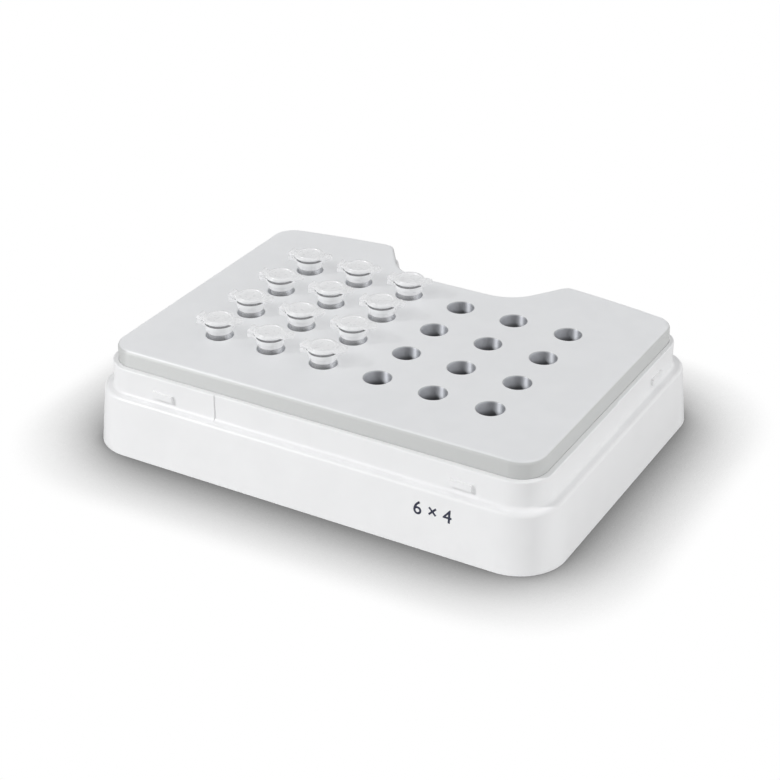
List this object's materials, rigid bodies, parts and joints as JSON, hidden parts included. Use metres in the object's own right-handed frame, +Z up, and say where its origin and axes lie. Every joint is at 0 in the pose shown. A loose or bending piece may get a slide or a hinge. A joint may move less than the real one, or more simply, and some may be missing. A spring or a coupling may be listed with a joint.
{
  "type": "heating block module",
  "caption": "Aluminium heating block with tapered wells in a white moulded frame, holding capped micro tubes that lift out and flip open; docks on a dry block heater base.",
  "frame": {"origin": "middle of the base, on the surface that the module stands on", "axes": "+X along the long side, +Y to the notched back, +Z up"},
  "size_m": [0.1524, 0.116, 0.0377],
  "materials": {
    "block": "bead blasted and anodised, satin grey",
    "frame": "white moulded plastic, satin gloss",
    "gasket": "silicone sheet",
    "screws": "zinc plated",
    "heater": "silicone heater sheet",
    "insulation": "closed foam",
    "cover": "matt moulded plastic",
    "probe": "drawn steel sleeve",
    "lead": "silicone insulation",
    "heater_wire": "silicone insulation",
    "board": "circuit board",
    "contact": "gold plated",
    "bush": "turned brass",
    "tube": "natural polypropylene",
    "cap": "natural polypropylene"
  },
  "bodies": {
    "module": {"sample_block": "block", "housing_frame": "frame", "block_gasket": "gasket", "block_screws": "screws", "heater_mat": "heater", "insulation_pad": "insulation", "bottom_cover": "cover", "cover_screws": "screws", "temperature_sensor": "probe", "sensor_lead": "lead", "thermal_cutout": "probe", "cutout_lead": "lead", "heater_leads": "heater_wire", "contact_board": "board", "contact_pins": "contact", "board_screws": "screws", "locating_bushes": "bush"},
    "tube_a1": {"tube_a1": "tube"},
    "cap_a1": {"cap_a1": "cap"},
    "tube_a2": {"tube_a2": "tube"},
    "cap_a2": {"cap_a2": "cap"},
    "tube_a3": {"tube_a3": "tube"},
    "cap_a3": {"cap_a3": "cap"},
    "tube_b1": {"tube_b1": "tube"},
    "cap_b1": {"cap_b1": "cap"},
    "tube_b2": {"tube_b2": "tube"},
    "cap_b2": {"cap_b2": "cap"},
    "tube_b3": {"tube_b3": "tube"},
    "cap_b3": {"cap_b3": "cap"},
    "tube_c1": {"tube_c1": "tube"},
    "cap_c1": {"cap_c1": "cap"},
    "tube_c2": {"tube_c2": "tube"},
    "cap_c2": {"cap_c2": "cap"},
    "tube_c3": {"tube_c3": "tube"},
    "cap_c3": {"cap_c3": "cap"},
    "tube_d1": {"tube_d1": "tube"},
    "cap_d1": {"cap_d1": "cap"},
    "tube_d2": {"tube_d2": "tube"},
    "cap_d2": {"cap_d2": "cap"},
    "tube_d3": {"tube_d3": "tube"},
    "cap_d3": {"cap_d3": "cap"}
  },
  "joints": [
    {"name": "tube_a1_lift", "type": "slide", "parent": "module", "child": "tube_a1", "axis": [0, 0, 1], "range_m": [0, 0.035]},
    {"name": "cap_a1_hinge", "type": "hinge", "parent": "tube_a1", "child": "cap_a1", "pos_m": [-0.05094, 0.0213, 0.03705], "axis": [0.1392, -0.9903, 0], "range_deg": [0, 100]},
    {"name": "tube_a2_lift", "type": "slide", "parent": "module", "child": "tube_a2", "axis": [0, 0, 1], "range_m": [0, 0.035]},
    {"name": "cap_a2_hinge", "type": "hinge", "parent": "tube_a2", "child": "cap_a2", "pos_m": [-0.03294, 0.0213, 0.03705], "axis": [0.1392, -0.9903, 0], "range_deg": [0, 100]},
    {"name": "tube_a3_lift", "type": "slide", "parent": "module", "child": "tube_a3", "axis": [0, 0, 1], "range_m": [0, 0.035]},
    {"name": "cap_a3_hinge", "type": "hinge", "parent": "tube_a3", "child": "cap_a3", "pos_m": [-0.01494, 0.0213, 0.03705], "axis": [0.1392, -0.9903, 0], "range_deg": [0, 100]},
    {"name": "tube_b1_lift", "type": "slide", "parent": "module", "child": "tube_b1", "axis": [0, 0, 1], "range_m": [0, 0.035]},
    {"name": "cap_b1_hinge", "type": "hinge", "parent": "tube_b1", "child": "cap_b1", "pos_m": [-0.05094, 0.0043, 0.03705], "axis": [0.1392, -0.9903, 0], "range_deg": [0, 100]},
    {"name": "tube_b2_lift", "type": "slide", "parent": "module", "child": "tube_b2", "axis": [0, 0, 1], "range_m": [0, 0.035]},
    {"name": "cap_b2_hinge", "type": "hinge", "parent": "tube_b2", "child": "cap_b2", "pos_m": [-0.03294, 0.0043, 0.03705], "axis": [0.1392, -0.9903, 0], "range_deg": [0, 100]},
    {"name": "tube_b3_lift", "type": "slide", "parent": "module", "child": "tube_b3", "axis": [0, 0, 1], "range_m": [0, 0.035]},
    {"name": "cap_b3_hinge", "type": "hinge", "parent": "tube_b3", "child": "cap_b3", "pos_m": [-0.01494, 0.0043, 0.03705], "axis": [0.1392, -0.9903, 0], "range_deg": [0, 100]},
    {"name": "tube_c1_lift", "type": "slide", "parent": "module", "child": "tube_c1", "axis": [0, 0, 1], "range_m": [0, 0.035]},
    {"name": "cap_c1_hinge", "type": "hinge", "parent": "tube_c1", "child": "cap_c1", "pos_m": [-0.05094, -0.0127, 0.03705], "axis": [0.1392, -0.9903, 0], "range_deg": [0, 100]},
    {"name": "tube_c2_lift", "type": "slide", "parent": "module", "child": "tube_c2", "axis": [0, 0, 1], "range_m": [0, 0.035]},
    {"name": "cap_c2_hinge", "type": "hinge", "parent": "tube_c2", "child": "cap_c2", "pos_m": [-0.03294, -0.0127, 0.03705], "axis": [0.1392, -0.9903, 0], "range_deg": [0, 100]},
    {"name": "tube_c3_lift", "type": "slide", "parent": "module", "child": "tube_c3", "axis": [0, 0, 1], "range_m": [0, 0.035]},
    {"name": "cap_c3_hinge", "type": "hinge", "parent": "tube_c3", "child": "cap_c3", "pos_m": [-0.01494, -0.0127, 0.03705], "axis": [0.1392, -0.9903, 0], "range_deg": [0, 100]},
    {"name": "tube_d1_lift", "type": "slide", "parent": "module", "child": "tube_d1", "axis": [0, 0, 1], "range_m": [0, 0.035]},
    {"name": "cap_d1_hinge", "type": "hinge", "parent": "tube_d1", "child": "cap_d1", "pos_m": [-0.05094, -0.0297, 0.03705], "axis": [0.1392, -0.9903, 0], "range_deg": [0, 100]},
    {"name": "tube_d2_lift", "type": "slide", "parent": "module", "child": "tube_d2", "axis": [0, 0, 1], "range_m": [0, 0.035]},
    {"name": "cap_d2_hinge", "type": "hinge", "parent": "tube_d2", "child": "cap_d2", "pos_m": [-0.03294, -0.0297, 0.03705], "axis": [0.1392, -0.9903, 0], "range_deg": [0, 100]},
    {"name": "tube_d3_lift", "type": "slide", "parent": "module", "child": "tube_d3", "axis": [0, 0, 1], "range_m": [0, 0.035]},
    {"name": "cap_d3_hinge", "type": "hinge", "parent": "tube_d3", "child": "cap_d3", "pos_m": [-0.01494, -0.0297, 0.03705], "axis": [0.1392, -0.9903, 0], "range_deg": [0, 100]}
  ]
}
